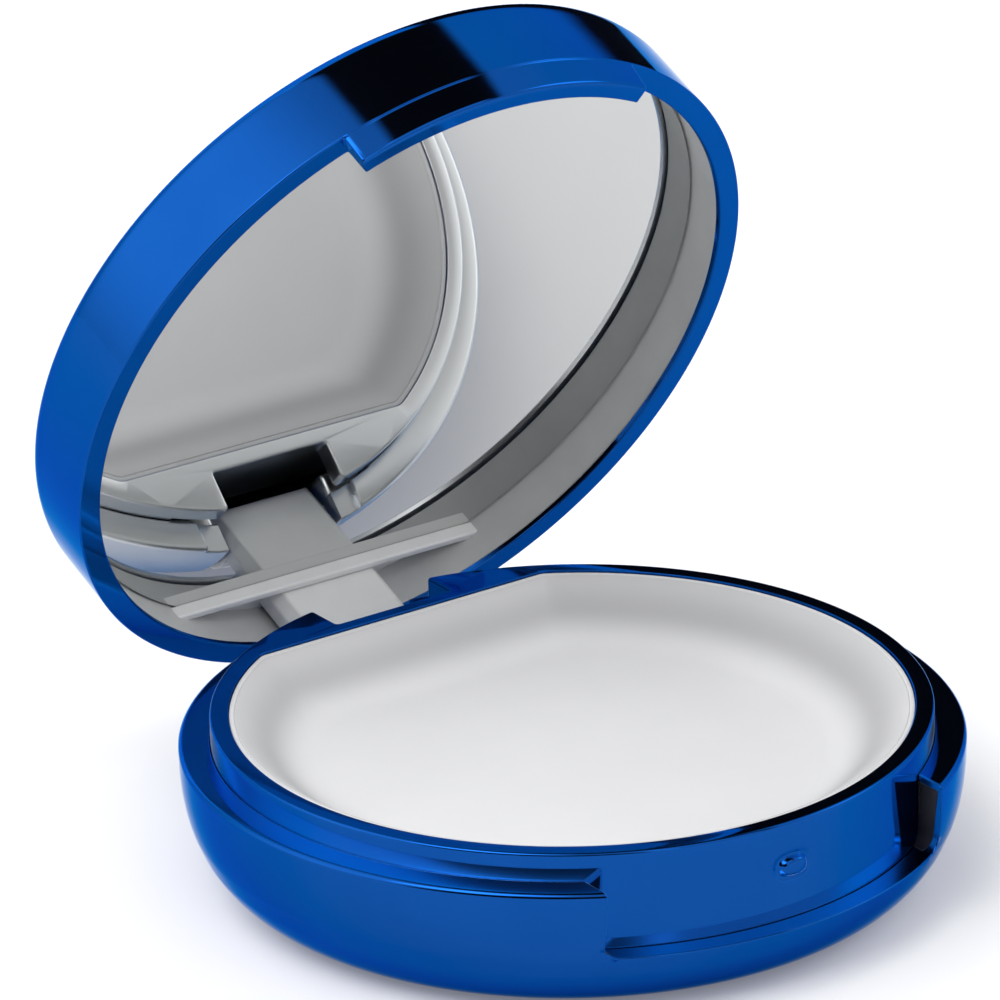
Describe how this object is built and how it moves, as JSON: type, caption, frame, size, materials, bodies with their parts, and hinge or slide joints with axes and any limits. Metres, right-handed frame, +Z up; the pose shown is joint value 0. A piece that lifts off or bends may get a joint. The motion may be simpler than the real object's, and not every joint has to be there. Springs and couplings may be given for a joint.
{
  "type": "powder compact",
  "caption": "Round pocket compact with a bowl-shaped base, a D-shaped product tray and a hinged lid that holds a mirror.",
  "frame": {"origin": "centre of the base's flat foot, on the surface that it stands on", "axes": "+Z up along the axis of the round base, +Y towards the hinge at the back, -Y towards the thumb notch in front, X along the hinge pin"},
  "size_m": [0.044, 0.0496, 0.0474],
  "materials": {
    "blue_metallised": "blue lacquer over bright metallised plastic",
    "grey_satin": "satin silver-grey",
    "white_plastic": "smooth",
    "white_balm": "smooth, soft sheen",
    "mirror_glass": "silvered glass",
    "steel": "drawn wire",
    "adhesive": "double-sided tape"
  },
  "bodies": {
    "base": {"base_shell": "blue_metallised", "inner_tray": "blue_metallised", "pan_adhesive": "adhesive", "product_pan": "white_plastic", "product_fill": "white_balm", "hinge_pin": "steel"},
    "lid": {"lid_shell": "blue_metallised", "lid_liner": "grey_satin", "mirror_tape": "adhesive", "mirror": "mirror_glass"}
  },
  "joints": [
    {"name": "lid_hinge", "type": "hinge", "parent": "base", "child": "lid", "pos_m": [0, 0.0202, 0.0057], "axis": [-1, 0, 0], "range_deg": [-66.6, 43.4]}
  ]
}
